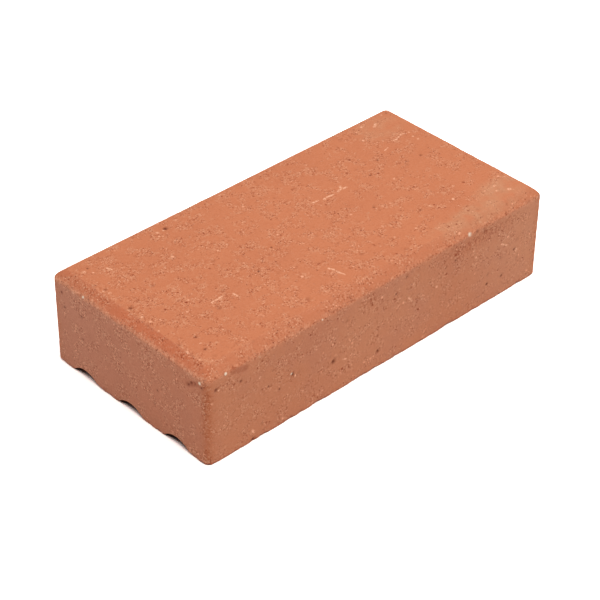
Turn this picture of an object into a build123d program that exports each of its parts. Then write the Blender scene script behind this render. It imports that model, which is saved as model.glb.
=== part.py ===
from build123d import *
import os

# A clay paving brick: one solid block, pressed and fired in one piece. It lies on its bed, wearing face up.
# +X runs along the length, +Y across the width and +Z up. The origin is the middle of the bed.
# Lengths are in millimetres.

# The block, over its widest points
LENGTH = 200.0
WIDTH = 99.0
HEIGHT = 47.5

# The bevel round the wearing face: how far it runs in over the top, and how far down the sides
BEVEL_INSET = 4.5
BEVEL_DROP = 4.0

# The rounds on the upright corners, and on the wearing face's own corners above the bevel
CORNER_RADIUS = 3.0
WEARING_CORNER_RADIUS = 2.0

# The soft round along the foot of the bevel, and the narrow worn line where the bevel meets the wearing face
BEVEL_FOOT_RADIUS = 2.4
WORN_RADIUS = 0.6

# The small round on the arris between the bed and the four upright faces
BED_ARRIS_RADIUS = 0.8

# The drainage and bedding grooves, which run the whole length of the bed and are open at both ends
GROOVE_COUNT = 3
GROOVE_PITCH = 29.7
GROOVE_WIDTH = 19.5
GROOVE_DEPTH = 3.6
GROOVE_LIP_RADIUS = 4.0

# A groove is an arc that flares out into the bed over a rounded lip, so its width counts both lips.
# The arc's centre, the lip's centre and the flat of the bed give the arc's radius.
GROOVE_HALF_WIDTH = GROOVE_WIDTH / 2
GROOVE_ARC_RADIUS = (GROOVE_HALF_WIDTH**2 + GROOVE_DEPTH**2) / (2 * GROOVE_DEPTH) - GROOVE_LIP_RADIUS
GROOVE_ARC_CENTRE = GROOVE_DEPTH - GROOVE_ARC_RADIUS

# The groove cutter runs past both end faces and past the side faces, in a strip that lies under the bed
CUTTER_OVERRUN = 5.0
CUTTER_STRIP = GROOVE_DEPTH


with BuildPart() as brick:
    # The pressed block, standing on its bed and reaching up to the foot of the bevel
    with BuildSketch() as outline:
        RectangleRounded(LENGTH, WIDTH, CORNER_RADIUS)
    extrude(amount=HEIGHT - BEVEL_DROP)

    # The bevel, which closes in from the block's outline to the wearing face's
    with BuildSketch(Plane.XY.offset(HEIGHT - BEVEL_DROP)):
        add(outline.sketch)
    with BuildSketch(Plane.XY.offset(HEIGHT)):
        RectangleRounded(LENGTH - 2 * BEVEL_INSET, WIDTH - 2 * BEVEL_INSET, WEARING_CORNER_RADIUS)
    loft(ruled=True)

    # The soft round along the bevel's foot, and the worn line along its upper edge
    foot = brick.edges().filter_by_position(Axis.Z, HEIGHT - BEVEL_DROP, HEIGHT - BEVEL_DROP)
    fillet(foot, BEVEL_FOOT_RADIUS)
    wearing_face = brick.faces().sort_by(Axis.Z)[-1]
    fillet(wearing_face.edges(), WORN_RADIUS)

    # The arris round the bed
    bed = brick.faces().sort_by(Axis.Z)[0]
    fillet(bed.edges(), BED_ARRIS_RADIUS)

    # The grooves: arcs on a strip that lies under the bed, with the lips as fillets between the two
    with BuildSketch(Plane.YZ) as grooves:
        with Locations((0, GROOVE_ARC_CENTRE)):
            with GridLocations(GROOVE_PITCH, 0, GROOVE_COUNT, 1):
                Circle(GROOVE_ARC_RADIUS)
        Rectangle(WIDTH + 2 * CUTTER_OVERRUN, CUTTER_STRIP, align=(Align.CENTER, Align.MAX))
        lips = grooves.vertices().filter_by(lambda corner: abs(corner.Y) < GROOVE_DEPTH / 2).sort_by(Axis.X)[1:-1]
        fillet(lips, GROOVE_LIP_RADIUS)
    extrude(amount=LENGTH / 2 + CUTTER_OVERRUN, both=True, mode=Mode.SUBTRACT)

brick.part.label = "brick"

os.makedirs("parts", exist_ok=True)
export_step(brick.part, "parts/brick.step")

print("groove arc radius", round(GROOVE_ARC_RADIUS, 2), "mm")
print("volume", round(brick.part.volume / 1000, 1), "cm3")
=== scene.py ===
"""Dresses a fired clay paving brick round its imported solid, and shows it on a plain white ground."""

import logging
import math
from dataclasses import dataclass, field
from enum import Enum
from typing import Any

import bpy
import numpy as np
from mathutils import Matrix, Vector, noise


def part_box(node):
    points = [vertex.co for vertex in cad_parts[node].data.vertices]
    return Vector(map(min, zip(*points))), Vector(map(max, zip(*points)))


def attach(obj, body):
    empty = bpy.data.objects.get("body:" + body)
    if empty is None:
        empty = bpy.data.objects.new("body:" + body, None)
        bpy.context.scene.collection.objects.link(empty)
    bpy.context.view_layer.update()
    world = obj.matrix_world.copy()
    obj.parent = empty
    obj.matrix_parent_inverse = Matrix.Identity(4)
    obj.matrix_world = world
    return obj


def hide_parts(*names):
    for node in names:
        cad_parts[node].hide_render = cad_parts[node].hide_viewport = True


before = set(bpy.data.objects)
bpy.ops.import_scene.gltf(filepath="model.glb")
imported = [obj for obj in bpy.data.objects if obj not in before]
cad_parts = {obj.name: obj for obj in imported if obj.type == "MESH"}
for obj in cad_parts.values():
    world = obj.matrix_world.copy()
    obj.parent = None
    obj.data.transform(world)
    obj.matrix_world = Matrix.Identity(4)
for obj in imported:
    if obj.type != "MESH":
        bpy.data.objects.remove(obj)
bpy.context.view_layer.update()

log = logging.getLogger("clay_brick")

MILLIMETRE = 0.001
BODY = "root"
SOLID = "brick"

LENGTHWISE = (1.0, 0.0, 0.0)
CROSSWISE = (0.0, 1.0, 0.0)
UPWARD = (0.0, 0.0, 1.0)
CLOUD_MIDDLE = 0.5

Colour = tuple[float, float, float, float]
Band = tuple[float, float]
Place = tuple[float, float]
Settings = dict[str, Any]


def from_screen(red: float, green: float, blue: float) -> Colour:
    """Turns a colour as a screen shows it into the linear one that a shader takes.

    Args:
        red: how much red, from 0 to 255.
        green: how much green, likewise.
        blue: how much blue, likewise.

    Returns:
        The linear colour, opaque.
    """
    full = 255.0
    toe, slope, offset, gamma = 0.04045, 12.92, 0.055, 2.4
    shares = [channel / full for channel in (red, green, blue)]
    linear = [s / slope if s <= toe else ((s + offset) / (1 + offset)) ** gamma for s in shares]
    return (linear[0], linear[1], linear[2], 1.0)


class Number:
    """One number of a shader, held as a socket. Arithmetic on it adds Math nodes."""

    def __init__(self, shader: "Shader", socket: bpy.types.NodeSocket) -> None:
        """Wraps a socket of the shader."""
        self.shader = shader
        self.socket = socket

    def __add__(self, other: "Number | float") -> "Number":
        """This number plus the other."""
        return self.shader.math("ADD", self, other)

    def __sub__(self, other: "Number | float") -> "Number":
        """This number less the other."""
        return self.shader.math("SUBTRACT", self, other)

    def __rsub__(self, other: float) -> "Number":
        """A plain number less this one."""
        return self.shader.math("SUBTRACT", other, self)

    def __mul__(self, other: "Number | float") -> "Number":
        """This number times the other."""
        return self.shader.math("MULTIPLY", self, other)

    # A plain number on the left gives the same sum and the same product
    __radd__ = __add__
    __rmul__ = __mul__

    def at_least(self, other: "Number | float") -> "Number":
        """The larger of this number and the other."""
        return self.shader.math("MAXIMUM", self, other)

    def between(self, low: float, high: float) -> "Number":
        """Runs from low to high while this number runs from 0 to 1."""
        return low + self * (high - low)

    def ramp(self, start: float, finish: float) -> "Number":
        """Runs smoothly from 0 at start to 1 at finish, which may be the lower of the two.

        Args:
            start: where the result is 0.
            finish: where the result is 1.

        Returns:
            The smooth step.
        """
        settings = {"interpolation_type": "SMOOTHSTEP"}
        inputs = {"Value": self, "From Min": start, "From Max": finish}
        return self.shader.number("ShaderNodeMapRange", settings, inputs, "Result")


class Shader:
    """A node tree that a material or the world is drawn with."""

    def __init__(self, tree: bpy.types.NodeTree) -> None:
        """Takes the tree over and empties it."""
        self.tree = tree
        self.tree.nodes.clear()

    @staticmethod
    def _find(sockets: Any, key: str) -> bpy.types.NodeSocket:
        """The socket with that identifier, or else with that name."""
        for socket in sockets:
            if socket.identifier == key:
                return socket
        return sockets[key]

    def node(self, kind: str, settings: Settings, inputs: dict[str, Any]) -> bpy.types.Node:
        """Adds one node.

        Args:
            kind: the node's type.
            settings: its properties, which are set first.
            inputs: a value, a Number or a socket for each of its sockets that isn't left as it is.

        Returns:
            The node.
        """
        made = self.tree.nodes.new(kind)
        for name, setting in settings.items():
            setattr(made, name, setting)
        for key, given in inputs.items():
            socket = self._find(made.inputs, key)
            if isinstance(given, Number):
                self.tree.links.new(given.socket, socket)
            elif isinstance(given, bpy.types.NodeSocket):
                self.tree.links.new(given, socket)
            else:
                socket.default_value = given
        return made

    def out(
        self, kind: str, settings: Settings, inputs: dict[str, Any], output: str
    ) -> bpy.types.NodeSocket:
        """Adds one node and gives the named output socket."""
        return self._find(self.node(kind, settings, inputs).outputs, output)

    def number(self, kind: str, settings: Settings, inputs: dict[str, Any], output: str) -> Number:
        """Adds one node and gives the named output as a Number."""
        return Number(self, self.out(kind, settings, inputs, output))

    def math(self, operation: str, first: Number | float, second: Number | float) -> Number:
        """Adds a Math node for the two numbers."""
        inputs = {"Value": first, "Value_001": second}
        return self.number("ShaderNodeMath", {"operation": operation}, inputs, "Value")

    def vector(self, operation: str, first: Any, second: Any) -> bpy.types.NodeSocket:
        """Adds a Vector Math node that gives a vector."""
        inputs = {"Vector": first, "Vector_001": second}
        return self.out("ShaderNodeVectorMath", {"operation": operation}, inputs, "Vector")

    def measure(self, operation: str, first: Any, second: Any) -> Number:
        """Adds a Vector Math node that gives a number, such as a distance."""
        inputs = {"Vector": first, "Vector_001": second}
        return self.number("ShaderNodeVectorMath", {"operation": operation}, inputs, "Value")

    def along(self, vector: Any, axis: tuple[float, float, float]) -> Number:
        """How far the vector runs along an axis."""
        return self.measure("DOT_PRODUCT", vector, axis)

    def scaled(self, vector: Any, factor: Number | float) -> bpy.types.NodeSocket:
        """The vector times a number."""
        inputs = {"Vector": vector, "Scale": factor}
        return self.out("ShaderNodeVectorMath", {"operation": "SCALE"}, inputs, "Vector")

    def mix(self, share: Number, base: Any, over: Any) -> bpy.types.NodeSocket:
        """Lays one colour over another.

        Args:
            share: how much of the colour on top shows, from 0 to 1.
            base: the colour underneath.
            over: the colour on top.

        Returns:
            The mixed colour's socket.
        """
        settings = {"data_type": "RGBA", "clamp_factor": True}
        inputs = {"Factor_Float": share, "A_Color": base, "B_Color": over}
        return self.out("ShaderNodeMix", settings, inputs, "Result_Color")

    def cloud(self, place: Any, look: "Cloud") -> Number:
        """Smooth noise round its middle, at a point in millimetres."""
        inputs = {
            "Vector": place,
            "Scale": 1 / look.size,
            "Detail": look.detail,
            "Roughness": look.roughness,
        }
        return self.number("ShaderNodeTexNoise", {}, inputs, "Fac")

    def mix_surfaces(self, share: Number, base: Any, over: Any) -> bpy.types.NodeSocket:
        """Mixes two surfaces or backgrounds, by how much of the second one shows."""
        inputs = {"Fac": share, "Shader": base, "Shader_001": over}
        return self.out("ShaderNodeMixShader", {}, inputs, "Shader")

    def seen(self) -> Number:
        """1 for what the camera sees, also by reflection or through glass, and 0 for light on its way."""
        path = self.node("ShaderNodeLightPath", {}, {})
        names = ("Is Camera Ray", "Is Glossy Ray", "Is Transmission Ray")
        camera, mirrored, through = (Number(self, path.outputs[name]) for name in names)
        return camera.at_least(mirrored).at_least(through)

    def painted(self, name: str) -> Number:
        """A number that the mesh carries at its points."""
        settings = {"attribute_type": "GEOMETRY", "attribute_name": name}
        return self.number("ShaderNodeAttribute", settings, {}, "Fac")


@dataclass(frozen=True)
class Cloud:
    """How a smooth noise looks.

    The size says how far apart its lumps lie, in millimetres. The detail is how many finer layers it has,
    and the roughness how strong each one is beside the one before it.
    """

    size: float
    detail: float = 2.0
    roughness: float = 0.5


@dataclass(frozen=True)
class Pattern:
    """What part of a noise shows: from nothing to all over a band of it, and at most by its share."""

    band: Band
    share: float = 1.0

    def of(self, cloud: Number) -> Number:
        """How much shows for that noise."""
        return cloud.ramp(*self.band) * self.share


@dataclass(frozen=True)
class Sand:
    """Round grains of many sizes: one share is pale, an equal one is dark and the rest doesn't show.

    The spacing says how far apart they lie, in millimetres. The edge says where a grain ends and the
    shrinking how much sooner it may, as shares of the spacing. The blend says how gently one kind passes
    into another.
    """

    spacing: float
    share: float
    edge: Band = (0.46, 0.30)
    shrink: float = 0.22
    blend: float = 0.02


class Face(Enum):
    """A face of the brick that carries marks of its own: the top, a long side or an end.

    Its value says which two axes it lies along, where X is 0, Y is 1 and Z is 2.
    """

    TOP = (0, 1)
    LONG = (0, 2)
    END = (1, 2)


class Tone(Enum):
    """What a mark looks like."""

    PALE = "pale scratch or dust"
    DARK = "dark pit"
    DEEP = "deep dark hole"
    STAIN = "smooth darker patch"
    # Bright grains are partly painted highlight: most lie near the bevel's foot, where the surface turns up
    # to the light
    BRIGHT = "bright grain"


@dataclass(frozen=True)
class Mark:
    """A scratch, pit or grain on one face, as a rounded stroke. Places are in millimetres along its axes."""

    face: Face
    tone: Tone
    start: Place
    finish: Place
    radius: float
    depth: float = 0.0


def spots(face: Face, tone: Tone, *rounds: tuple[float, ...]) -> list[Mark]:
    """Round marks, each given by its place along and across or up the face, its radius and any depth."""
    return [Mark(face, tone, one[:2], one[:2], *one[2:]) for one in rounds]


def lines(face: Face, tone: Tone, *strokes: tuple[Any, ...]) -> list[Mark]:
    """Long marks, each given by its two ends, its radius and any depth."""
    return [Mark(face, tone, *one) for one in strokes]


MARKS = (
    # Scratches across the wearing face
    *lines(
        Face.TOP, Tone.PALE,
        ((-66.4, -14.5), (-62.8, -14.4), 0.5), ((-62.8, -14.4), (-60.3, -14.1), 0.65),
        ((-55.9, -16.2), (-55.8, -18.0), 0.65), ((-14.4, -29.8), (-13.4, -31.8), 0.6),
        ((-13.2, -33.4), (-12.7, -37.2), 0.6), ((14.8, 10.9), (17.8, 10.4), 0.6),
        ((20.7, 9.3), (21.2, 9.4), 0.7), ((22.4, 9.8), (26.2, 9.3), 0.55),
        ((29.2, 9.6), (32.0, 10.5), 0.6), ((32.5, 11.0), (33.0, 12.0), 0.8),
        ((33.0, 9.6), (34.6, 9.8), 0.6), ((69.1, 19.7), (71.7, 20.4), 0.35),
        ((78.6, 22.9), (79.6, 22.8), 0.8), ((80.6, 23.2), (83.4, 24.0), 0.42),
        ((85.4, 24.0), (86.8, 23.3), 0.4),
    ),
    *spots(
        Face.TOP, Tone.PALE,
        (75.7, 23.9, 0.45), (84.2, 24.3, 0.65), (88.5, 23.2, 0.55), (87.3, 19.4, 0.4), (87.5, 16.4, 0.75),
        (62.8, -29.0, 0.8), (70.4, -22.0, 0.7), (67.8, 32.4, 0.7),
    ),
    # Crumbs and pits beside the near bevel
    *spots(
        Face.TOP, Tone.PALE,
        (-91.6, 37.4, 0.9), (-89.0, 34.6, 0.5), (-93.6, 22.0, 0.8), (-92.8, 18.8, 0.8), (-94.3, 5.0, 0.8),
        (-93.8, -2.8, 0.6), (-94.9, -14.4, 0.7), (-87.8, -32.2, 0.7),
    ),
    *lines(
        Face.TOP, Tone.PALE,
        ((-82.6, 33.2), (-81.8, 31.0), 0.55), ((-95.4, -32.6), (-95.4, -37.4), 0.55),
    ),
    *spots(
        Face.TOP, Tone.DARK,
        (-88.8, 38.8, 0.5, 0.3), (-92.6, 22.2, 0.7, 0.5), (-86.4, -27.4, 0.8, 0.4),
        (-88.9, -36.0, 0.7, 0.4),
    ),
    *spots(Face.TOP, Tone.DEEP, (-93.1, 5.4, 0.8, 0.6)),
    # Pits elsewhere on the wearing face
    *spots(Face.TOP, Tone.DEEP, (-45.5, 39.5, 1.0, 0.7), (-37.3, -11.2, 0.6, 0.3)),
    *spots(Face.TOP, Tone.PALE, (-47.2, 38.6, 0.6), (-50.2, 39.0, 0.8)),
    *spots(
        Face.TOP, Tone.DARK,
        (-21.6, -2.0, 0.5, 0.3), (32.4, -9.8, 0.7, 0.3), (49.6, 9.6, 0.7, 0.3), (60.8, 16.3, 0.6, 0.3),
        (69.7, 6.8, 0.4, 0.2), (78.5, 6.0, 0.7, 0.4), (46.0, -25.0, 0.6, 0.3),
    ),
    # Crumbs at the far right corner and along the long bevel
    *lines(Face.TOP, Tone.PALE, ((80.2, 37.6), (82.2, 38.8), 0.8)),
    *spots(
        Face.TOP, Tone.PALE,
        (75.4, 41.4, 0.7), (90.0, 42.6, 0.7), (84.2, -34.0, 0.9), (82.0, -37.6, 0.8), (88.2, -41.4, 0.8),
        (87.0, -40.4, 1.1),
    ),
    # The long side
    # Bright grains, partly painted highlight where the bevel's foot turns up to the light
    *spots(
        Face.LONG, Tone.BRIGHT,
        (-89.7, 43.1, 0.8), (52.4, 43.5, 1.3), (-36.8, 42.8, 0.5), (-54.2, 23.9, 0.6),
    ),
    *spots(
        Face.LONG, Tone.DEEP,
        (-53.2, 23.2, 0.7, 0.5), (-29.8, 17.2, 1.0, 0.8), (-75.5, 1.0, 0.9, 0.6), (-3.3, 8.9, 0.7, 0.5),
        (57.2, 42.9, 0.8, 0.6), (65.8, 10.4, 0.7, 0.4),
    ),
    *spots(
        Face.LONG, Tone.PALE,
        (-52.0, 22.0, 0.6), (-71.6, 31.2, 0.8), (-93.8, 36.8, 0.45), (32.2, 25.5, 0.7), (57.0, 29.0, 0.7),
        (84.3, 20.4, 1.0),
    ),
    *spots(
        Face.LONG, Tone.DARK,
        (-66.9, 24.2, 0.6, 0.3), (-95.0, 37.6, 1.0, 0.5), (-81.8, 35.0, 0.7, 0.4), (-54.0, 1.0, 0.6, 0.3),
        (-48.2, 0.8, 0.7, 0.4), (6.8, 34.0, 0.6, 0.3), (13.0, 39.9, 0.7, 0.4), (43.7, 33.8, 0.7, 0.4),
        (62.0, 40.6, 0.7, 0.4), (83.0, 21.2, 0.8, 0.3), (75.5, 10.3, 0.8, 0.4), (-60.8, 19.4, 0.5, 0.3),
        (98.2, 43.4, 1.0, 0.6),
    ),
    *lines(
        Face.LONG, Tone.PALE,
        ((-24.4, 15.7), (-22.6, 14.9), 0.45), ((-75.9, 6.0), (-75.1, 4.8), 0.8),
        ((14.6, 28.2), (16.6, 25.8), 0.5), ((73.8, 28.4), (77.6, 26.0), 0.5),
    ),
    *lines(Face.LONG, Tone.STAIN, ((-86.0, 42.4), (-79.4, 40.6), 1.7)),
    # The near end
    # Bright grains, partly painted highlight where the bevel's foot turns up to the light
    *spots(Face.END, Tone.BRIGHT, (-45.3, 41.3, 0.8), (28.4, 43.6, 0.8)),
    *lines(Face.END, Tone.STAIN, ((-38.0, 37.0), (-44.0, 40.4), 1.6)),
    *spots(
        Face.END, Tone.DARK,
        (-38.4, 36.8, 0.6, 0.4), (-40.2, 38.6, 0.8, 0.5), (-42.4, 39.4, 0.5, 0.4),
        (-46.2, 39.4, 0.6, 0.4), (42.9, 38.3, 0.7, 0.3), (41.6, 31.2, 0.7, 0.4), (30.2, 32.5, 0.7, 0.4),
        (-18.4, 21.8, 0.6, 0.3),
    ),
    *spots(Face.END, Tone.PALE, (34.8, 42.6, 1.0)),
)


@dataclass(frozen=True)
class Patch:
    """A soft-edged area of one face, such as dust or a torn skin, as an ellipse in millimetres."""

    face: Face
    centre: Place
    reach: Place
    strength: float = 1.0


DUSTY = (
    Patch(Face.TOP, (66.0, -43.0), (44.0, 9.0)),
    Patch(Face.TOP, (84.0, -38.0), (20.0, 12.0)),
    Patch(Face.TOP, (81.0, 35.0), (18.0, 13.0), 0.6),
)
TORN = (
    Patch(Face.LONG, (60.0, 39.0), (34.0, 6.0)),
    Patch(Face.LONG, (-8.0, 39.5), (7.0, 5.5)),
)
POLISHED = (Patch(Face.END, (-12.0, 45.0), (46.0, 8.0)),)
PALER = (
    Patch(Face.LONG, (100.0, 22.0), (60.0, 60.0)),
    Patch(Face.LONG, (0.0, 20.0), (48.0, 40.0), 0.4),
)


@dataclass
class BrickForm:
    """The brick as a mesh of four-sided cells: rings up its sides, closed by a grid above and one below.

    Lengths are in millimetres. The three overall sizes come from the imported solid.
    """

    half_length: float
    half_width: float
    height: float
    bevel_inset: float = 4.5
    bevel_drop: float = 4.0
    upright_corner: float = 3.0
    wearing_corner: float = 2.0
    worn_edge: float = 0.6
    bevel_foot: float = 2.4
    bed_arris: float = 0.8
    groove_count: int = 3
    groove_pitch: float = 29.7
    groove_width: float = 19.5
    groove_depth: float = 3.6
    groove_lip: float = 4.0
    groove_fade: float = 20.0
    cell: float = 0.86
    upright_cell: float = 1.2
    corner_cells: int = 2
    edge_cells: int = 3

    def __post_init__(self) -> None:
        """Works out how many cells each side takes."""
        self.along = round(2 * (self.half_length - self.upright_corner) / self.cell) + 2 * self.corner_cells
        self.across = round(2 * (self.half_width - self.upright_corner) / self.cell) + 2 * self.corner_cells
        self.around = 2 * (self.along + self.across)

    def rounded(self, before: np.ndarray, bend: np.ndarray, after: np.ndarray, radius: float) -> np.ndarray:
        """Rounds one bend of the side's outline.

        Args:
            before: a point on the straight line into the bend.
            bend: the bend's own point.
            after: a point on the straight line out of it.
            radius: the radius of the round.

        Returns:
            Points along the round, its two ends among them.
        """
        into = (bend - before) / np.linalg.norm(bend - before)
        out = (after - bend) / np.linalg.norm(after - bend)
        turn = math.acos(float(np.clip(into @ out, -1, 1)))
        trim = radius * math.tan(turn / 2)
        start = bend - into * trim
        side = out - into * float(into @ out)
        side /= np.linalg.norm(side)
        angles = np.linspace(0, turn, self.edge_cells + 1)
        return np.array([start + radius * (math.sin(a) * into + (1 - math.cos(a)) * side) for a in angles])

    def outline(self) -> np.ndarray:
        """The side's outline from the bed to the wearing face: inset, height and the corners' radius."""
        bevel_base = self.height - self.bevel_drop
        corners = np.array([
            (2 * self.bed_arris, 0.0),
            (0.0, 0.0),
            (0.0, bevel_base),
            (self.bevel_inset, self.height),
            (self.bevel_inset + self.bevel_drop, self.height),
        ])
        radii = (self.bed_arris, self.bevel_foot, self.worn_edge)
        rounds = [self.rounded(*corners[i:i + 3], radius) for i, radius in enumerate(radii)]
        points = [rounds[0]]
        for upper in rounds[1:]:
            gap = upper[0] - points[-1][-1]
            cell = self.upright_cell if gap[0] == 0 else self.cell
            steps = max(1, round(float(np.linalg.norm(gap)) / cell))
            points.append(points[-1][-1] + np.outer(np.arange(1, steps) / steps, gap))
            points.append(upper)
        inset, height = np.concatenate(points).T
        narrowing = (self.wearing_corner - self.upright_corner) * inset / self.bevel_inset
        on_bevel = self.upright_corner + narrowing
        radius = np.where(height < bevel_base, self.upright_corner - inset, on_bevel)
        return np.stack([inset, height, radius], -1)

    def side(self, length: float, reach: float, radius: float, cells: int) -> np.ndarray:
        """One side of a ring, from the middle of one rounded corner to the middle of the next.

        Args:
            length: half the length of the side.
            reach: how far out the side lies.
            radius: the radius of the corners.
            cells: how many cells the side has.

        Returns:
            The points, as pairs along and outward, without the last.
        """
        turn = np.linspace(-math.pi / 4, 0, self.corner_cells + 1)
        flat = np.linspace(-(length - radius), length - radius, cells - 2 * self.corner_cells + 1)
        angles = np.concatenate([turn[:-1], np.zeros(len(flat)), -turn[::-1][1:]])
        centres = np.concatenate([
            np.full(self.corner_cells, -(length - radius)),
            flat,
            np.full(self.corner_cells, length - radius),
        ])
        points = np.stack([centres + radius * np.sin(angles), reach - radius + radius * np.cos(angles)], -1)
        return points[:-1]

    def ring(self, inset: float, height: float, radius: float) -> np.ndarray:
        """One level of the sides, anticlockwise from above, starting in the near left corner."""
        length, width = self.half_length - inset, self.half_width - inset
        long_side = self.side(length, width, radius, self.along)
        end_side = self.side(width, length, radius, self.across)
        turns = (
            (long_side, np.array([[1, 0], [0, -1]])),
            (end_side, np.array([[0, 1], [1, 0]])),
            (long_side, np.array([[-1, 0], [0, 1]])),
            (end_side, np.array([[0, -1], [-1, 0]])),
        )
        plan = np.concatenate([points @ turn for points, turn in turns])
        return np.column_stack([plan, np.full(self.around, height)])

    def groove_rise(self, across: np.ndarray) -> np.ndarray:
        """How far the grooves lift the bed at each place across the brick."""
        half = self.groove_width / 2
        arc = (half**2 + self.groove_depth**2) / (2 * self.groove_depth) - self.groove_lip
        meeting = half * arc / (arc + self.groove_lip)
        first = -(self.groove_count - 1) / 2 * self.groove_pitch
        centres = first + self.groove_pitch * np.arange(self.groove_count)
        off = np.abs(across[:, None] - centres[None, :]).min(1)
        inside = self.groove_depth - arc + np.sqrt(np.maximum(arc**2 - off**2, 0))
        lip = self.groove_lip - np.sqrt(np.maximum(self.groove_lip**2 - (half - off)**2, 0))
        return np.where(off < meeting, inside, np.where(off < half, lip, 0.0))

    def rim_numbers(self) -> np.ndarray:
        """The places in a ring of a cap's outer points, as a grid whose inner entries aren't used."""
        grid = np.zeros((self.along + 1, self.across + 1), int)
        lengthwise, crosswise = np.arange(self.along + 1), np.arange(self.across + 1)
        grid[:, 0] = lengthwise
        grid[-1, :] = self.along + crosswise
        grid[:, -1] = 2 * self.along + self.across - lengthwise
        grid[0, :] = (self.around - crosswise) % self.around
        return grid

    def cap(self, ring: np.ndarray) -> np.ndarray:
        """Fills a ring with a grid that follows its four sides.

        Args:
            ring: the ring's points.

        Returns:
            The grid's points, the ring's own among them.
        """
        edge = ring[self.rim_numbers()]
        u = np.linspace(0, 1, self.along + 1)[:, None, None]
        v = np.linspace(0, 1, self.across + 1)[None, :, None]
        sides = (1 - v) * edge[:, :1] + v * edge[:, -1:] + (1 - u) * edge[:1, :] + u * edge[-1:, :]
        corners = (1 - u) * ((1 - v) * edge[:1, :1] + v * edge[:1, -1:])
        corners = corners + u * ((1 - v) * edge[-1:, :1] + v * edge[-1:, -1:])
        return sides - corners

    def points(self) -> np.ndarray:
        """Every point of the mesh: the rings from the bed up, then the inside of the two faces."""
        rings = [self.ring(*level) for level in self.outline()]
        insides = [self.cap(ring)[1:-1, 1:-1].reshape(-1, 3) for ring in (rings[-1], rings[0])]
        made = np.concatenate([*rings, *insides])
        fade = np.clip(1 - made[:, 2] / self.groove_fade, 0, 1)
        made[:, 2] += self.groove_rise(made[:, 1]) * fade
        return made

    def cells(self) -> np.ndarray:
        """The four point numbers of every cell, in order round its outer side."""
        levels = len(self.outline())
        step = np.arange(self.around)
        onward = (step + 1) % self.around
        found = []
        for level in range(levels - 1):
            low, high = level * self.around, (level + 1) * self.around
            found.append(np.stack([low + step, low + onward, high + onward, high + step], -1))
        inner = (self.along - 1) * (self.across - 1)
        first_inner = levels * self.around
        caps = (((levels - 1) * self.around, first_inner, True), (0, first_inner + inner, False))
        for ring_start, start, upward in caps:
            grid = self.rim_numbers() + ring_start
            grid[1:-1, 1:-1] = start + np.arange(inner).reshape(self.along - 1, self.across - 1)
            corners = [grid[:-1, :-1], grid[1:, :-1], grid[1:, 1:], grid[:-1, 1:]]
            ordered = corners if upward else corners[::-1]
            found.append(np.stack([corner.ravel() for corner in ordered], -1))
        return np.concatenate(found)

    def on_face(self, face: Face, place: Place) -> np.ndarray:
        """The point in the brick's frame of a place on one of its faces."""
        point = np.array([-self.half_length, -self.half_width, self.height])
        point[list(face.value)] = place
        return point

    def stroke(self, mark: Mark) -> tuple[np.ndarray, np.ndarray]:
        """Where a mark starts in the brick's frame, and how far it runs from there along X, Y and Z."""
        start = self.on_face(mark.face, mark.start)
        return start, self.on_face(mark.face, mark.finish) - start

    def reach_on(self, patch: Patch) -> np.ndarray:
        """How far a patch reaches along X, Y and Z. It is as deep as its smaller reach."""
        reach = np.full(3, min(patch.reach))
        reach[list(patch.face.value)] = patch.reach
        return reach


def near(distance: np.ndarray, reach: float) -> np.ndarray:
    """1 where the distance is 0, falling smoothly to almost nothing at twice the reach."""
    return np.exp(-((distance / reach) ** 2))


@dataclass(frozen=True)
class Swell:
    """Smooth noise in the skin. Its depth and the distance between its lumps are in millimetres.

    The seed moves the pattern. Each layer is finer than the last by the step, and weaker by the fading.
    """

    depth: float
    size: float
    seed: float
    layers: int = 1
    fading: float = 1.0
    step: float = 2.0

    def at(self, points: np.ndarray) -> np.ndarray:
        """The noise at each point, mostly between -1 and 1."""
        places = points / self.size + self.seed
        settings = (self.fading, self.step, self.layers)
        return np.array([noise.fractal(Vector(place), *settings) for place in places])


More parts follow.
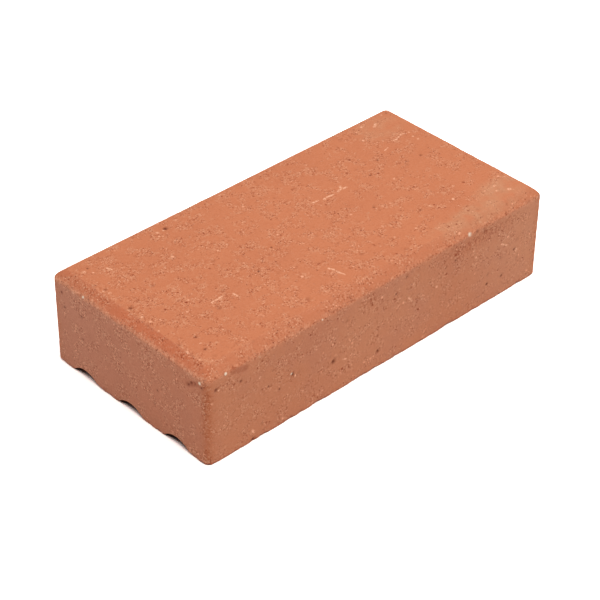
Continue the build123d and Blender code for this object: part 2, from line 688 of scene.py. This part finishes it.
@dataclass
class Relief:
    """What pressing, handling and firing did to the brick's skin. Lengths are in millimetres."""

    form: BrickForm
    skin: float = 0.05
    warp: Swell = Swell(depth=0.10, size=55.0, seed=1.3)
    lumps: Swell = Swell(depth=0.06, size=7.0, seed=5.9)
    sand: Swell = Swell(depth=0.07, size=1.9, seed=9.4, layers=2)
    crumble: Swell = Swell(depth=0.70, size=2.6, seed=3.1, layers=2)
    crumble_reach: float = 1.1
    chip: Swell = Swell(depth=1.5, size=8.0, seed=7.7)
    chip_reach: float = 1.6
    chip_start: float = 0.35
    pit_count: int = 150
    pit_radii: Band = (0.7, 1.4)
    pit_depths: Band = (0.12, 0.4)
    pit_full: float = 0.5
    torn_depth: float = 0.5
    torn_evenness: float = 0.5
    rim_reach: float = 0.9
    foot_reach: float = 1.5
    corner_reach: float = 3.4
    arris_reach: float = 1.0
    bevel_margin: float = 1.0
    seed: int = 11

    def crease_distance(self, points: np.ndarray) -> np.ndarray:
        """How far each point lies from the nearest edge of the brick.

        Args:
            points: the brick's points before the relief.

        Returns:
            The distances to the rim, the bevel's foot, the upright corners and the arris, a column each.
        """
        form = self.form
        x, y, z = np.abs(points[:, 0]), np.abs(points[:, 1]), points[:, 2]
        out_x, out_y = form.half_length - x, form.half_width - y
        inset = np.minimum(out_x, out_y)
        rim = np.hypot(inset - form.bevel_inset, z - form.height)
        foot = np.hypot(inset, z - (form.height - form.bevel_drop))
        upright = np.hypot(out_x, out_y)
        arris = np.hypot(inset, z)
        return np.stack([rim, foot, upright, arris], -1)

    def pits(self, points: np.ndarray) -> np.ndarray:
        """The depth of small open pits, scattered by chance, with those that the marks name."""
        chance = np.random.default_rng(self.seed)
        depth = np.zeros(len(points))
        for centre in chance.integers(0, len(points), self.pit_count):
            radius = chance.uniform(*self.pit_radii)
            away = np.linalg.norm(points - points[centre], axis=1)
            depth += chance.uniform(*self.pit_depths) * np.clip(1 - (away / radius) ** 2, 0, 1)
        for mark in (m for m in MARKS if m.depth > 0):
            start, run = self.form.stroke(mark)
            share = np.clip((points - start) @ run / (float(run @ run) or 1.0), 0, 1)
            away = np.linalg.norm(points - start - share[:, None] * run, axis=1)
            depth += mark.depth * np.clip(1 - (away / (mark.radius + self.form.cell / 2)) ** 2, 0, 1)
        return depth

    def torn(self, points: np.ndarray) -> np.ndarray:
        """How torn the skin is at each point, from 0 to 1."""
        found = np.zeros(len(points))
        for patch in TORN:
            offset = (points - self.form.on_face(patch.face, patch.centre)) / self.form.reach_on(patch)
            found = np.maximum(found, np.clip(1 - np.linalg.norm(offset, axis=1), 0, 1))
        return found

    def depth(self, points: np.ndarray) -> tuple[np.ndarray, dict[str, np.ndarray]]:
        """Works out how far each point is pressed in, and what the shader has to know there.

        Args:
            points: the brick's points before the relief.

        Returns:
            The depths, and the numbers that the mesh carries for its finish, by name.
        """
        rim, foot, upright, arris = self.crease_distance(points).T
        crease = np.minimum(np.minimum(rim, foot), arris)
        pits = self.pits(points)
        torn = self.torn(points)
        crumbs = self.crumble.at(points)
        chips = np.clip(self.chip.at(points) - self.chip_start, 0, 1)
        made = np.full(len(points), self.skin)
        for swell in (self.warp, self.lumps, self.sand):
            made += swell.depth * swell.at(points)
        made += self.crumble.depth * np.clip(crumbs, 0, 1) * near(crease, self.crumble_reach)
        made += self.chip.depth * chips * near(crease, self.chip_reach)
        made += self.torn_depth * torn * np.clip(self.torn_evenness + crumbs, 0, 1)
        made += pits
        on_bevel = rim + foot < math.hypot(self.form.bevel_inset, self.form.bevel_drop) + self.bevel_margin
        painted = {
            "rim": near(rim, self.rim_reach),
            "foot": near(foot, self.foot_reach),
            "corner": near(upright, self.corner_reach),
            "arris": near(arris, self.arris_reach),
            "bevel": on_bevel.astype(float),
            # How deep the pits are, from 0 to 1; the shader paints the pits dark by it, partly as painted
            # shade in their hollows
            "pit": np.clip(pits / self.pit_full, 0, 1),
            "torn": torn,
        }
        return np.maximum(made, 0), painted


@dataclass(frozen=True)
class FiredClay:
    """Unglazed red clay: a mottled body with sand in it, redder where it is burnished, greyer on its sides.

    A pair whose name ends in band or edge says where a ramp starts and ends. Every other pair says the least
    and the most that something counts for. Lengths are in millimetres.
    """

    # What every coat is drawn from
    broad: Cloud = Cloud(34.0)
    middle: Cloud = Cloud(7.0)
    fine: Cloud = Cloud(1.3, roughness=0.9)
    grit: Cloud = Cloud(0.7, detail=1.0)
    smudged: Cloud = Cloud(26.0, detail=3.0, roughness=0.7)
    sandy: Cloud = Cloud(7.0, detail=3.0, roughness=0.65)
    small_sand: Sand = Sand(spacing=0.95, share=0.27)
    large_sand: Sand = Sand(spacing=1.9, share=0.07)

    # Which way a place faces, how high it lies, and how sandy it is
    side_band: Band = (0.55, 0.2)
    end_band: Band = (0.5, 0.9)
    end_bevel_band: Band = (0.1, 0.4)
    low_band: Band = (9.0, 2.0)
    sandy_band: Band = (0.44, 0.60)
    sandier_near_end: float = 0.0003
    sandier_upward: float = 0.001

    # The clay, and the greyer colour of the upright faces, set by which way they face
    body: Colour = from_screen(214, 130, 91)
    red: Colour = from_screen(202, 120, 84)
    red_clouds: Pattern = Pattern((0.35, 0.62), 0.25)
    pale: Colour = from_screen(217, 145, 110)
    pale_clouds: Pattern = Pattern((0.50, 0.72), 0.15)
    side_colour: Colour = from_screen(206, 131, 95)
    end_colour: Colour = from_screen(205, 134, 106)
    warm_end_colour: Colour = from_screen(205, 129, 97)
    smudge: Colour = from_screen(194, 124, 96)
    smudges: Pattern = Pattern((0.42, 0.66), 0.40)
    dust: Colour = from_screen(236, 177, 142)
    paler: float = 0.17

    # The bevel and the upright corners
    worn_bevel: Colour = from_screen(206, 124, 88)
    wear: float = 0.7
    burnished: Colour = from_screen(212, 116, 78)
    burnish: Band = (0.40, 0.85)
    rubbed_corner: Colour = from_screen(193, 110, 72)
    rub: float = 0.56
    rubbed_areas: Pattern = Pattern((0.35, 0.6), 0.30)
    rubbed_specks: Pattern = Pattern((0.40, 0.60), 0.16)

    # Mottling, haze and torn skin
    mottle_on_sand: Band = (0.09, 0.55)
    mottle_on_end: Band = (1.0, 1.20)
    hollows: Pattern = Pattern((0.50, 0.72))
    small_hollows: Pattern = Pattern((0.56, 0.72))
    bumps: Pattern = Pattern((0.50, 0.28))
    small_bumps: Pattern = Pattern((0.44, 0.28))
    haze: Colour = from_screen(211, 157, 121)
    hazy_areas: Pattern = Pattern((0.22, 0.58), 0.42)
    torn_grain: Pattern = Pattern((0.46, 0.58), 0.55)

    # Grains of sand
    pale_grain: Colour = from_screen(248, 175, 138)
    dark_grain: Colour = from_screen(141, 49, 15)
    sand_on_sandy: Band = (0.07, 1.03)
    sand_on_end: Band = (1.0, 1.10)
    sand_low_down: float = 0.12
    pale_sand: float = 0.95
    dark_sand: float = 0.72

    # Crumbs and bites along the edges, and a pale line at the ends' bevel foot that is partly painted
    # highlight
    rim_crumbs: Pattern = Pattern((0.50, 0.66), 0.35)
    foot_crumbs: Pattern = Pattern((0.50, 0.60))
    foot_on_end: Band = (0.5, 0.9)
    # A thin pale line at the foot of the end bevels, partly crumbs and partly painted highlight
    pale_foot_crumbs_and_highlight: float = 0.35
    foot_bites: Pattern = Pattern((0.44, 0.34), 0.7)
    # Dark crumbs along the arris round the bed, which also stand for painted shade along the bed
    arris_crumbs_and_shade: Pattern = Pattern((0.46, 0.62), 0.5)

    # Marks
    scuff: Colour = from_screen(251, 185, 149)
    # Near-white grains, partly painted highlight: most lie near the bevel's foot, where the surface turns up
    # to the light
    bright_grain: Colour = from_screen(255, 229, 202)
    # The dark colour of the pits and holes, partly painted shade in their hollows
    hollow_shade: Colour = from_screen(99, 37, 17)
    stroke_edge: Band = (1.25, 0.45)
    patch_edge: Band = (1.0, 0.3)
    ragged: float = 0.9
    stone_ragged: float = 0.45
    scuff_grit: Pattern = Pattern((0.39, 0.53))
    stain: float = 0.30
    # How strongly the pits and holes are painted dark, partly as painted shade in their hollows
    pit: float = 0.6
    hole: float = 0.70
    deep_hole_shade: float = 0.95

    # The surface. The bump's height is in metres
    roughness: float = 0.88
    roughness_spread: float = 0.12
    shine: float = 0.25
    bump_height: float = 0.00017
    fine_bump: float = 0.5
    grit_bump: float = 0.45
    bump_on_sand: Band = (0.45, 1.15)
    sand_bump: float = 0.5

    def make(self, form: BrickForm) -> bpy.types.Material:
        """Makes the material for a brick of that form."""
        material = bpy.data.materials.new("fired_clay")
        material.use_nodes = True
        ClayPainter(Shader(material.node_tree), self, form).paint()
        return material


class ClayPainter:
    """Draws the shader of a fired clay, coat over coat."""

    def __init__(self, shader: Shader, look: FiredClay, form: BrickForm) -> None:
        """Draws what the coats share.

        Args:
            shader: the material's shader.
            look: the clay's colours and patterns.
            form: the brick, which knows where its faces are.
        """
        self.shader, self.look, self.form = shader, look, form
        self.colour: Any = look.body
        coordinates = shader.out("ShaderNodeTexCoord", {}, {}, "Object")
        self.place = shader.scaled(coordinates, 1 / MILLIMETRE)
        clouds = (look.broad, look.middle, look.fine, look.grit, look.smudged)
        drawn = (shader.cloud(self.place, cloud) for cloud in clouds)
        self.broad, self.middle, self.fine, self.grit, self.smudged = drawn
        self.rim, self.foot, self.corner, self.arris, self.bevel, self.pit, self.torn = (
            shader.painted(name) for name in ("rim", "foot", "corner", "arris", "bevel", "pit", "torn")
        )

        normal = shader.out("ShaderNodeTexCoord", {}, {}, "Normal")
        self.side = shader.along(normal, UPWARD).ramp(*look.side_band)
        lengthwise = shader.along(normal, LENGTHWISE)
        lengthwise = lengthwise.at_least(lengthwise * -1)
        self.end = lengthwise.ramp(*look.end_band)
        self.end_bevel = lengthwise.ramp(*look.end_bevel_band)
        rise = shader.along(self.place, UPWARD)
        self.low = rise.ramp(*look.low_band)
        sandier = shader.along(self.place, LENGTHWISE) * -look.sandier_near_end * (1 - self.side)
        sandier = sandier + (rise - form.height / 2) * look.sandier_upward * self.end
        self.sandy = (shader.cloud(self.place, look.sandy) + sandier).ramp(*look.sandy_band)
        self.small_pale, self.small_dark = self.sand(look.small_sand)
        self.large_pale, self.large_dark = self.sand(look.large_sand)

    def lay(self, share: Number, colour: Any) -> None:
        """Lays a colour over what is there, by a share from 0 to 1."""
        self.colour = self.shader.mix(share, self.colour, colour)

    def sand(self, grains: Sand) -> tuple[Number, Number]:
        """Scatters grains, and gives how much of a pale one shows and how much of a dark one."""
        inputs = {"Vector": self.place, "Scale": 1 / grains.spacing}
        cells = self.shader.node("ShaderNodeTexVoronoi", {}, inputs)
        chance = cells.outputs["Color"]
        lot = self.shader.along(chance, LENGTHWISE)
        shrink = self.shader.along(chance, CROSSWISE) * grains.shrink
        grain = (Number(self.shader, cells.outputs["Distance"]) + shrink).ramp(*grains.edge)
        pale = lot.ramp(1 - grains.share, 1 - grains.share + grains.blend)
        dark = lot.ramp(grains.share, grains.share - grains.blend)
        return grain * pale, grain * dark

    def strokes(self, tone: Tone, ragged: float) -> Number:
        """Draws every mark of one tone.

        Args:
            tone: which marks to draw.
            ragged: how much the fine noise moves their edges, in millimetres.

        Returns:
            How much of that tone shows.
        """
        shader = self.shader
        jitter = (self.fine - CLOUD_MIDDLE) * ragged
        far, close = self.look.stroke_edge
        total: Number | None = None
        for mark in (m for m in MARKS if m.tone is tone):
            start, run = self.form.stroke(mark)
            if mark.start == mark.finish:
                away = shader.measure("DISTANCE", self.place, tuple(start))
            else:
                offset = shader.vector("SUBTRACT", self.place, tuple(start))
                passed = shader.along(offset, tuple(run / float(run @ run)))
                share = shader.number("ShaderNodeClamp", {}, {"Value": passed}, "Result")
                away = shader.measure("DISTANCE", offset, shader.scaled(tuple(run), share))
            shown = (away + jitter).ramp(mark.radius * far, mark.radius * close)
            total = shown if total is None else total.at_least(shown)
        return total

    def patches(self, areas: tuple[Patch, ...]) -> Number:
        """How far inside the nearest of some soft-edged areas a point lies, from 0 to 1."""
        shader = self.shader
        total: Number | None = None
        for area in areas:
            offset = shader.vector("SUBTRACT", self.place, tuple(self.form.on_face(area.face, area.centre)))
            shrunk = shader.vector("MULTIPLY", offset, tuple(1 / self.form.reach_on(area)))
            away = shader.measure("LENGTH", shrunk, (0, 0, 0))
            shown = away.ramp(*self.look.patch_edge) * area.strength
            total = shown if total is None else total.at_least(shown)
        return total

    def lay_clay(self) -> None:
        """Lays the clouds in the clay, and the greyer colour of its upright faces, set by which way they
        face.
        """
        look, width = self.look, self.form.half_width
        self.lay(look.red_clouds.of(self.broad), look.red)
        self.lay(look.pale_clouds.of(self.middle), look.pale)
        # The upright faces greyer than the top, and the ends greyer still and warmer toward -Y, by which way
        # each face points
        self.lay(self.side, look.side_colour)
        across = self.shader.along(self.place, CROSSWISE).ramp(-width, width)
        self.lay(self.end, self.shader.mix(across, look.warm_end_colour, look.end_colour))
        self.lay(self.side * look.smudges.of(self.smudged), look.smudge)
        self.lay(self.patches(PALER) * self.side * look.paler, look.dust)

    def lay_wear(self) -> None:
        """Lays what handling did to the bevel and the upright corners."""
        look = self.look
        self.lay(self.bevel * look.wear, look.worn_bevel)
        polished = self.patches(POLISHED).between(*look.burnish)
        self.lay(self.bevel * self.end_bevel * polished, look.burnished)
        rubbed = look.rub + look.rubbed_areas.of(self.middle) + look.rubbed_specks.of(self.fine)
        self.lay(self.corner * rubbed, look.rubbed_corner)

    def lay_mottling(self) -> None:
        """Lays the fine mottling, the haze and the torn skin."""
        look = self.look
        mottle = self.sandy.between(*look.mottle_on_sand) * self.end.between(*look.mottle_on_end)
        hollows = look.hollows.of(self.fine).at_least(look.small_hollows.of(self.grit))
        bumps = look.bumps.of(self.fine).at_least(look.small_bumps.of(self.grit))
        self.lay(hollows * mottle, look.dark_grain)
        self.lay(bumps * mottle, look.dust)
        self.lay(self.patches(DUSTY) * look.hazy_areas.of(self.middle), look.haze)
        self.lay(self.torn * look.torn_grain.of(self.fine), look.dark_grain)

    def lay_sand(self) -> None:
        """Lays the pale and the dark grains of sand."""
        look = self.look
        shown = self.sandy.between(*look.sand_on_sandy) * self.end.between(*look.sand_on_end)
        shown = shown + (self.low + self.corner) * look.sand_low_down
        self.lay(self.small_pale.at_least(self.large_pale) * shown * look.pale_sand, look.pale_grain)
        self.lay(self.small_dark.at_least(self.large_dark) * shown * look.dark_sand, look.dark_grain)

    def lay_edges(self) -> None:
        """Lays the crumbs and the bites along the rim and the foot of the bevel, and on the ends a thin pale
        line at the foot that is partly crumbs and partly painted highlight.
        """
        look, foot = self.look, self.foot
        worn = foot * look.foot_crumbs.of(self.fine) * self.end_bevel.between(*look.foot_on_end)
        # On the ends, a thin pale line at the bevel's foot: partly crumbs, partly painted highlight
        worn = worn.at_least(foot * foot * self.bevel * self.end_bevel * look.pale_foot_crumbs_and_highlight)
        self.lay((self.rim * look.rim_crumbs.of(self.fine)).at_least(worn), look.pale_grain)
        self.lay(foot * look.foot_bites.of(self.fine), look.dark_grain)

    def lay_hollows(self) -> None:
        """Lays the stains; the dark colour of the pits and holes, partly painted shade in their hollows; and
        dark crumbs along the arris round the bed, partly painted shade along the bed.
        """
        look = self.look
        self.lay(self.strokes(Tone.STAIN, look.ragged) * look.stain, look.dark_grain)
        # Pits and holes painted dark: partly painted shade in the hollows that the relief presses in
        holes = self.strokes(Tone.DARK, look.ragged).at_least(self.pit * look.pit)
        self.lay(holes * look.hole, look.hollow_shade)
        self.lay(self.strokes(Tone.DEEP, look.ragged) * look.deep_hole_shade, look.hollow_shade)
        # Dark grains along the arris round the bed: crumbs, and painted shade where the bed meets the floor
        self.lay(self.arris * look.arris_crumbs_and_shade.of(self.fine), look.dark_grain)

    def bumps(self) -> bpy.types.NodeSocket:
        """The normal, roughened by the fine noise, the grit and the smaller sand."""
        look = self.look
        height = self.fine * look.fine_bump + self.grit * look.grit_bump
        height = height * self.sandy.between(*look.bump_on_sand)
        height = height + (self.small_pale - self.small_dark) * look.sand_bump
        inputs = {"Strength": 1.0, "Distance": look.bump_height, "Height": height}
        return self.shader.out("ShaderNodeBump", {}, inputs, "Normal")

    def paint(self) -> None:
        """Lays every coat in order, and makes the surface of them."""
        look, shader = self.look, self.shader
        self.lay_clay()
        self.lay_wear()
        self.lay_mottling()
        self.lay_sand()
        self.lay(self.strokes(Tone.PALE, look.ragged) * look.scuff_grit.of(self.grit), look.scuff)
        self.lay_edges()
        self.lay_hollows()
        # Near-white grains, partly painted highlight near the bevel's foot
        self.lay(self.strokes(Tone.BRIGHT, look.stone_ragged), look.bright_grain)
        inputs = {
            "Base Color": self.colour,
            "Roughness": look.roughness + (self.fine - CLOUD_MIDDLE) * look.roughness_spread,
            "Specular IOR Level": look.shine,
            "Normal": self.bumps(),
        }
        surface = shader.out("ShaderNodeBsdfPrincipled", {}, inputs, "BSDF")
        shader.node("ShaderNodeOutputMaterial", {}, {"Surface": surface})


@dataclass
class ClayBrick:
    """The brick itself: its form, its worn skin and its finish."""

    form: BrickForm
    relief: Relief
    finish: FiredClay = field(default_factory=FiredClay)

    def mesh(self) -> bpy.types.Mesh:
        """Builds the mesh, presses the relief into it and paints its points."""
        points, cells = self.form.points(), self.form.cells()
        made = bpy.data.meshes.new("fired_brick")
        made.from_pydata(points.tolist(), [], cells.tolist())
        normals = np.zeros(len(points) * 3, np.float32)
        made.vertices.foreach_get("normal", normals)
        depth, painted = self.relief.depth(points)
        pressed = (points - depth[:, None] * normals.reshape(-1, 3)) * MILLIMETRE
        made.vertices.foreach_set("co", pressed.astype(np.float32).ravel())
        for name, numbers in painted.items():
            layer = made.attributes.new(name, "FLOAT", "POINT")
            layer.data.foreach_set("value", numbers.astype(np.float32))
        made.polygons.foreach_set("use_smooth", np.ones(len(cells), bool))
        made.update()
        made.validate()
        return made

    def build(self) -> bpy.types.Object:
        """Makes the brick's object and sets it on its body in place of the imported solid."""
        piece = bpy.data.objects.new("fired_brick", self.mesh())
        bpy.context.scene.collection.objects.link(piece)
        piece.data.materials.append(self.finish.make(self.form))
        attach(piece, BODY)
        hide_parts(SOLID)
        return piece


@dataclass(frozen=True)
class Softbox:
    """A round soft lamp. Lengths are in metres and its tint is linear."""

    name: str
    place: tuple[float, float, float]
    aim: tuple[float, float, float]
    width: float
    power: float
    tint: tuple[float, float, float]

    def build(self) -> bpy.types.Object:
        """Makes the lamp and turns it to its aim."""
        light = bpy.data.lights.new(self.name, "AREA")
        light.shape = "DISK"
        light.size = self.width
        light.energy = self.power
        light.color = self.tint
        lamp = bpy.data.objects.new(self.name, light)
        lamp.location = self.place
        lamp.rotation_mode = "QUATERNION"
        lamp.rotation_quaternion = (Vector(self.aim) - Vector(self.place)).to_track_quat("-Z", "Y")
        bpy.context.scene.collection.objects.link(lamp)
        return lamp


@dataclass(frozen=True)
class Ground:
    """A plain white floor. Seen by the camera it is bright enough to be white outside the brick's shadow,
    and close to the brick, where ambient occlusion finds it shut in, it carries a painted dark contact
    shadow.
    """

    half_size: float = 4.0
    white: Colour = (0.86, 0.86, 0.86, 1.0)
    seen_white: Colour = (2.4, 2.3, 2.25, 1.0)
    seen_painted_shadow: Colour = (0.06, 0.045, 0.035, 1.0)
    shadow_reach: float = 0.02
    shadow_band: Band = (0.40, 0.24)

    def material(self) -> bpy.types.Material:
        """Makes the floor's material, which is clear when seen from below."""
        made = bpy.data.materials.new("white_floor")
        made.use_nodes = True
        shader = Shader(made.node_tree)
        seen = shader.seen()
        below = shader.number("ShaderNodeNewGeometry", {}, {}, "Backfacing")
        # Painted contact shadow: where the brick shuts the floor in within the reach, the floor's colour
        # seen by the camera goes dark
        air = shader.number("ShaderNodeAmbientOcclusion", {}, {"Distance": self.shadow_reach}, "AO")
        shown = shader.mix(air.ramp(*self.shadow_band), self.seen_white, self.seen_painted_shadow)
        plain = shader.out("ShaderNodeBsdfDiffuse", {}, {"Color": self.white}, "BSDF")
        bright = shader.out("ShaderNodeBsdfDiffuse", {}, {"Color": shown}, "BSDF")
        floor = shader.mix_surfaces(seen, plain, bright)
        clear = shader.out("ShaderNodeBsdfTransparent", {}, {}, "BSDF")
        surface = shader.mix_surfaces(below * seen, floor, clear)
        shader.node("ShaderNodeOutputMaterial", {}, {"Surface": surface})
        return made

    def build(self) -> bpy.types.Object:
        """Lays the floor under the brick."""
        reach = self.half_size
        corners = [(-reach, -reach, 0), (reach, -reach, 0), (reach, reach, 0), (-reach, reach, 0)]
        mesh = bpy.data.meshes.new("floor")
        mesh.from_pydata(corners, [], [(0, 1, 2, 3)])
        floor = bpy.data.objects.new("floor", mesh)
        bpy.context.scene.collection.objects.link(floor)
        mesh.materials.append(self.material())
        return floor


@dataclass(frozen=True)
class Sky:
    """Even light from all round. The camera and reflections see it as plain white."""

    tint: Colour = (0.93, 0.97, 1.0, 1.0)
    strength: float = 0.50
    white: Colour = (1.0, 1.0, 1.0, 1.0)
    seen_strength: float = 1.0

    def build(self) -> bpy.types.World:
        """Makes the world and gives it to the scene."""
        world = bpy.data.worlds.new("sky")
        bpy.context.scene.world = world
        world.use_nodes = True
        shader = Shader(world.node_tree)
        seen = shader.seen()
        lit, plain = (
            shader.out("ShaderNodeBackground", {}, {"Color": colour, "Strength": strength}, "Background")
            for colour, strength in ((self.tint, self.strength), (self.white, self.seen_strength))
        )
        surface = shader.mix_surfaces(seen, lit, plain)
        shader.node("ShaderNodeOutputWorld", {}, {"Surface": surface})
        return world


@dataclass(frozen=True)
class Viewpoint:
    """Where the photograph was taken from. Angles are in degrees and lengths in millimetres.

    The azimuth is 0 looking along +Y. The offsets say how far the camera stands to its own right and up
    of the line to the brick's origin.
    """

    azimuth: float = -43.78
    elevation: float = 36.42
    roll: float = 0.67
    offset_right: float = -1.67
    offset_up: float = 6.13
    distance: float = 890.6
    lens: float = 119.68
    sensor: float = 36.0

    def build(self) -> bpy.types.Object:
        """Makes the camera and gives it to the scene."""
        turn, rise, lean = (math.radians(angle) for angle in (self.azimuth, self.elevation, self.roll))
        back = Vector((math.sin(turn) * math.cos(rise), -math.cos(turn) * math.cos(rise), math.sin(rise)))
        level_right = Vector((math.cos(turn), math.sin(turn), 0))
        level_up = back.cross(level_right)
        right = math.cos(lean) * level_right + math.sin(lean) * level_up
        up = math.cos(lean) * level_up - math.sin(lean) * level_right
        place = (self.offset_right * right + self.offset_up * up + self.distance * back) * MILLIMETRE
        data = bpy.data.cameras.new("camera")
        data.lens = self.lens
        data.sensor_width = self.sensor
        camera = bpy.data.objects.new("camera", data)
        axes = Matrix((right, up, back)).transposed()
        camera.matrix_world = Matrix.Translation(place) @ axes.to_4x4()
        bpy.context.scene.collection.objects.link(camera)
        bpy.context.scene.camera = camera
        return camera


@dataclass
class Studio:
    """The plain white place that the brick is shown in."""

    ground: Ground = field(default_factory=Ground)
    sky: Sky = field(default_factory=Sky)
    viewpoint: Viewpoint = field(default_factory=Viewpoint)
    lamps: tuple[Softbox, ...] = (
        Softbox(
            name="overhead_softbox",
            place=(0.05, -0.28, 1.20),
            aim=(0, 0, 0),
            width=0.9,
            power=8.5,
            tint=(1.0, 0.96, 0.90),
        ),
    )

    def build(self) -> list[str]:
        """Builds the place and gives the names of what it holds."""
        self.sky.build()
        made = [self.ground.build(), self.viewpoint.build()]
        made += [lamp.build() for lamp in self.lamps]
        bpy.context.scene.view_settings.view_transform = "Standard"
        return [piece.name for piece in made]


def main() -> None:
    """Builds the brick and then the place that it is shown in."""
    logging.basicConfig(level=logging.INFO)
    low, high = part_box(SOLID)
    length, width, height = (size / MILLIMETRE for size in high - low)
    form = BrickForm(length / 2, width / 2, height)
    brick = ClayBrick(form, Relief(form)).build()
    log.info("%s: %d points, %d cells", brick.name, len(brick.data.vertices), len(brick.data.polygons))
    log.info("studio: %s", ", ".join(Studio().build()))


if __name__ == "__main__":
    main()
